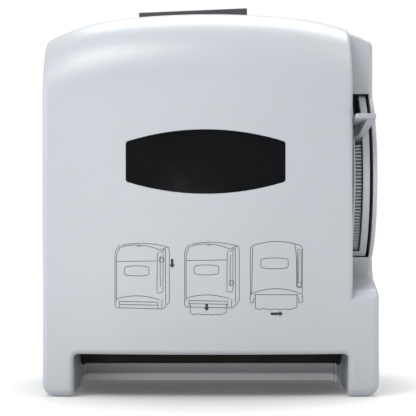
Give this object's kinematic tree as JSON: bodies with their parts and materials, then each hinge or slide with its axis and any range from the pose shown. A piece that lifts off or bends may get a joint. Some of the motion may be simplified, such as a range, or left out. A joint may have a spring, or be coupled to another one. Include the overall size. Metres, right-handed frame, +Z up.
{
  "type": "lever paper towel dispenser",
  "caption": "Wall-mounted lever-fed paper towel dispenser with a hinged arched cover, smoked window, side lever, gear-driven feed roller, tear blade, roll arms and lock.",
  "frame": {"origin": "on the floor plane of the feet, under the middle of the overall width and depth", "axes": "+X to the right seen from the front, +Y towards the wall, +Z up"},
  "size_m": [0.325, 0.244, 0.4026],
  "materials": {
    "cover_shell": "light grey moulded shell, satin gloss",
    "smoked_lens": "near-black smoked window, polished",
    "base_plastic": "dark grey moulded wall plate",
    "tray_plastic": "light grey moulded outlet",
    "black_plastic": "black moulding, fine texture",
    "guide_plastic": "light grey moulding",
    "lever_plastic": "light grey moulded lever",
    "gear_plastic": "dark grey acetal",
    "arm_plastic": "grey moulded arm",
    "frame_steel": "zinc-plated pressed sheet",
    "bright_steel": "ground steel",
    "spring_steel": "drawn spring wire",
    "blade_steel": "stainless strip",
    "zinc_screws": "zinc-plated pan heads",
    "bronze_bush": "sintered bronze",
    "roller_core": "grey moulding",
    "roller_rubber": "ribbed grip rubber",
    "lock_metal": "nickel-plated"
  },
  "bodies": {
    "chassis": {"back_plate": "base_plastic", "left_side_frame": "frame_steel", "right_side_frame": "frame_steel", "frame_screws": "zinc_screws", "outlet_tray": "tray_plastic", "tray_screws": "zinc_screws", "cover_hinge_pins": "bright_steel", "tear_bar_carrier": "black_plastic", "carrier_screws": "zinc_screws", "tear_blade": "blade_steel", "blade_screws": "zinc_screws", "lever_guide": "guide_plastic", "guide_screws": "zinc_screws", "lever_pivot_pin": "bright_steel", "lever_return_spring": "spring_steel", "idler_shaft": "bright_steel", "gear_cover": "guide_plastic", "gear_cover_posts": "bright_steel", "gear_cover_screws": "zinc_screws", "roller_bushes": "bronze_bush", "pinch_springs": "spring_steel", "pinch_spring_brackets": "frame_steel", "roll_arm_pins": "bright_steel", "latch_keeper": "frame_steel"},
    "cover": {"front_cover": "cover_shell", "window_lens": "smoked_lens", "lock_housing": "lock_metal", "lock_nut": "lock_metal"},
    "lock": {"lock_barrel": "lock_metal", "lock_cam": "lock_metal"},
    "lever": {"lever_arm": "lever_plastic", "sector_gear": "gear_plastic", "sector_screws": "zinc_screws"},
    "idler": {"idler_gear": "gear_plastic"},
    "feed_roller": {"feed_roller_shaft": "bright_steel", "feed_roller_core": "roller_core", "feed_roller_sleeves": "roller_rubber", "roller_gear": "gear_plastic", "one_way_clutch": "gear_plastic", "shaft_clip": "bright_steel"},
    "pinch_roller": {"pinch_roller_shaft": "bright_steel", "pinch_roller_sleeves": "roller_rubber"},
    "left_arm": {"roll_arm_left": "arm_plastic"},
    "right_arm": {"roll_arm_right": "arm_plastic"},
    "left_hub": {"core_hub_left": "arm_plastic"},
    "right_hub": {"core_hub_right": "arm_plastic"}
  },
  "joints": [
    {"name": "cover_hinge", "type": "hinge", "parent": "chassis", "child": "cover", "pos_m": [0, -0.008, 0.018], "axis": [1, 0, 0], "range_deg": [0, 95]},
    {"name": "lock_turn", "type": "hinge", "parent": "cover", "child": "lock", "pos_m": [0, 0.088, 0.345], "axis": [0, 0, -1], "range_deg": [0, 90]},
    {"name": "lever_pivot", "type": "hinge", "parent": "chassis", "child": "lever", "pos_m": [0.146, 0.00391, 0.213], "axis": [1, 0, 0], "range_deg": [0, 70], "stiffness_Nm_per_rad": 0.5, "springref_deg": -34.38},
    {"name": "idler_spin", "type": "hinge", "parent": "chassis", "child": "idler", "pos_m": [0.145, -0.00407, 0.09888], "axis": [1, 0, 0], "range_deg": [-210.5, 0]},
    {"name": "feed_roller_spin", "type": "hinge", "parent": "chassis", "child": "feed_roller", "pos_m": [0, -0.0222, 0.06], "axis": [1, 0, 0], "range_deg": [0, 420.5]},
    {"name": "pinch_roller_spin", "type": "hinge", "parent": "chassis", "child": "pinch_roller", "pos_m": [0, 0.0012, 0.06], "axis": [1, 0, 0], "range_deg": [-788, 0]},
    {"name": "right_arm_swing", "type": "hinge", "parent": "chassis", "child": "right_arm", "pos_m": [0.106, 0.104, 0.24], "axis": [0, 0, 1], "range_deg": [0, 8], "stiffness_Nm_per_rad": 2, "springref_deg": -5.73},
    {"name": "left_arm_swing", "type": "hinge", "parent": "chassis", "child": "left_arm", "pos_m": [-0.106, 0.104, 0.24], "axis": [0, 0, -1], "range_deg": [0, 8], "stiffness_Nm_per_rad": 2, "springref_deg": -5.73},
    {"name": "right_hub_spin", "type": "hinge", "parent": "right_arm", "child": "right_hub", "pos_m": [0.097, 0.01, 0.24], "axis": [1, 0, 0], "continuous": true},
    {"name": "left_hub_spin", "type": "hinge", "parent": "left_arm", "child": "left_hub", "pos_m": [-0.097, 0.01, 0.24], "axis": [1, 0, 0], "continuous": true}
  ],
  "couplings": [
    {"joint": "idler_spin", "follows": "lever_pivot", "ratio": -3},
    {"joint": "feed_roller_spin", "follows": "lever_pivot", "ratio": 6},
    {"joint": "pinch_roller_spin", "follows": "lever_pivot", "ratio": -11.25}
  ]
}
